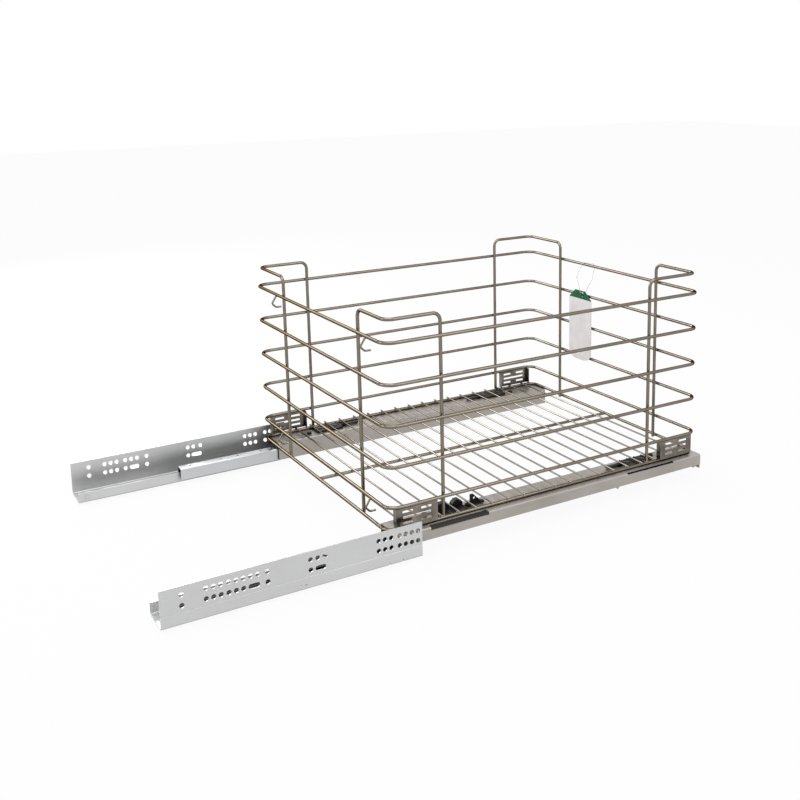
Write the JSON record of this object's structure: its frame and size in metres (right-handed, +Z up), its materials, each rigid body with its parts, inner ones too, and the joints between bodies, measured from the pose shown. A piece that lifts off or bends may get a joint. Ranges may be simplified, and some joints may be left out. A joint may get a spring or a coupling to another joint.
{
  "type": "pull-out wire basket trolley",
  "caption": "Wire basket for grain bags on a pair of three-part undermount slides, pulled out, with fixing clips, brackets and a swing ticket.",
  "frame": {"origin": "midway along the whole pulled-out length, on the centre line, level with the underside of the cabinet rails", "axes": "+Z up; the basket pulls out towards -Y; X runs across the cabinet"},
  "size_m": [0.442, 0.7858, 0.2998],
  "materials": {
    "wire": "satin nickel-coloured plating",
    "rail_grey": "satin warm grey",
    "zinc": "bright zinc",
    "stainless": "bright",
    "black_plastic": "matt",
    "cage_plastic": "matt",
    "clear_plastic": "gloss",
    "ball_steel": "polished",
    "card": "coated card"
  },
  "bodies": {
    "cabinet_side": {"cabinet_rail_left": "zinc", "cabinet_rail_right": "zinc", "lip_rivets": "zinc", "striker_pin_left": "zinc", "striker_pin_right": "zinc"},
    "basket": {"ring_1": "wire", "ring_2": "wire", "ring_3": "wire", "ring_4": "wire", "ring_5": "wire", "floor_frame": "wire", "floor_rods": "wire", "floor_centre_bar": "wire", "post_rear_right": "wire", "post_rear_left": "wire", "post_front_right": "wire", "post_front_left": "wire", "upper_hooks": "wire", "lower_hooks": "wire", "bracket_front_left": "stainless", "bracket_rear_left": "stainless", "bracket_front_right": "stainless", "bracket_rear_right": "stainless", "drawer_rail_left": "rail_grey", "drawer_rail_right": "rail_grey", "closing_unit_left": "black_plastic", "closing_unit_right": "black_plastic", "guide_buttons_left": "clear_plastic", "guide_buttons_right": "clear_plastic", "clip_front_left": "black_plastic", "clip_rear_left": "black_plastic", "clip_front_right": "black_plastic", "clip_rear_right": "black_plastic", "clip_pins": "zinc", "clip_rivets": "zinc", "adjusting_screws": "zinc"},
    "middle_left": {"middle_rail_left": "zinc"},
    "lower_rolling_left": {"lower_cage_left": "cage_plastic", "lower_balls_left": "ball_steel", "lip_rollers_left": "cage_plastic"},
    "upper_rolling_left": {"upper_cage_left": "cage_plastic", "upper_rollers_left": "cage_plastic"},
    "middle_right": {"middle_rail_right": "zinc"},
    "lower_rolling_right": {"lower_cage_right": "cage_plastic", "lower_balls_right": "ball_steel", "lip_rollers_right": "cage_plastic"},
    "upper_rolling_right": {"upper_cage_right": "cage_plastic", "upper_rollers_right": "cage_plastic"},
    "lever_front_left": {"clip_lever_front_left": "black_plastic"},
    "lever_rear_left": {"clip_lever_rear_left": "black_plastic"},
    "lever_front_right": {"clip_lever_front_right": "black_plastic"},
    "lever_rear_right": {"clip_lever_rear_right": "black_plastic"},
    "ticket": {"swing_ticket": "card", "ticket_loop": "clear_plastic"}
  },
  "joints": [
    {"name": "basket_slide", "type": "slide", "parent": "cabinet_side", "child": "basket", "axis": [0, 1, 0], "range_m": [0, 0.455]},
    {"name": "middle_left_slide", "type": "slide", "parent": "cabinet_side", "child": "middle_left", "axis": [0, 1, 0], "range_m": [0, 0.2275]},
    {"name": "lower_rolling_left_slide", "type": "slide", "parent": "cabinet_side", "child": "lower_rolling_left", "axis": [0, 1, 0], "range_m": [0, 0.11375]},
    {"name": "upper_rolling_left_slide", "type": "slide", "parent": "cabinet_side", "child": "upper_rolling_left", "axis": [0, 1, 0], "range_m": [0, 0.34125]},
    {"name": "middle_right_slide", "type": "slide", "parent": "cabinet_side", "child": "middle_right", "axis": [0, 1, 0], "range_m": [0, 0.2275]},
    {"name": "lower_rolling_right_slide", "type": "slide", "parent": "cabinet_side", "child": "lower_rolling_right", "axis": [0, 1, 0], "range_m": [0, 0.11375]},
    {"name": "upper_rolling_right_slide", "type": "slide", "parent": "cabinet_side", "child": "upper_rolling_right", "axis": [0, 1, 0], "range_m": [0, 0.34125]},
    {"name": "lever_front_left_hinge", "type": "hinge", "parent": "basket", "child": "lever_front_left", "pos_m": [-0.186, -0.26675, 0.03445], "axis": [0, 0, -1], "range_deg": [0, 8], "stiffness_Nm_per_rad": 0.5, "springref_deg": -1.15},
    {"name": "lever_rear_left_hinge", "type": "hinge", "parent": "basket", "child": "lever_rear_left", "pos_m": [-0.186, -0.01275, 0.03445], "axis": [0, 0, 1], "range_deg": [0, 8], "stiffness_Nm_per_rad": 0.5, "springref_deg": -1.15},
    {"name": "lever_front_right_hinge", "type": "hinge", "parent": "basket", "child": "lever_front_right", "pos_m": [0.186, -0.26675, 0.03445], "axis": [0, 0, 1], "range_deg": [0, 8], "stiffness_Nm_per_rad": 0.5, "springref_deg": -1.15},
    {"name": "lever_rear_right_hinge", "type": "hinge", "parent": "basket", "child": "lever_rear_right", "pos_m": [0.186, -0.01275, 0.03445], "axis": [0, 0, -1], "range_deg": [0, 8], "stiffness_Nm_per_rad": 0.5, "springref_deg": -1.15},
    {"name": "ticket_swing", "type": "hinge", "parent": "basket", "child": "ticket", "pos_m": [0.061, -0.38975, 0.27], "axis": [1, 0, 0], "range_deg": [0, 40]}
  ],
  "couplings": [
    {"joint": "middle_left_slide", "follows": "basket_slide", "ratio": 0.5},
    {"joint": "lower_rolling_left_slide", "follows": "basket_slide", "ratio": 0.25},
    {"joint": "upper_rolling_left_slide", "follows": "basket_slide", "ratio": 0.75},
    {"joint": "middle_right_slide", "follows": "basket_slide", "ratio": 0.5},
    {"joint": "lower_rolling_right_slide", "follows": "basket_slide", "ratio": 0.25},
    {"joint": "upper_rolling_right_slide", "follows": "basket_slide", "ratio": 0.75}
  ]
}
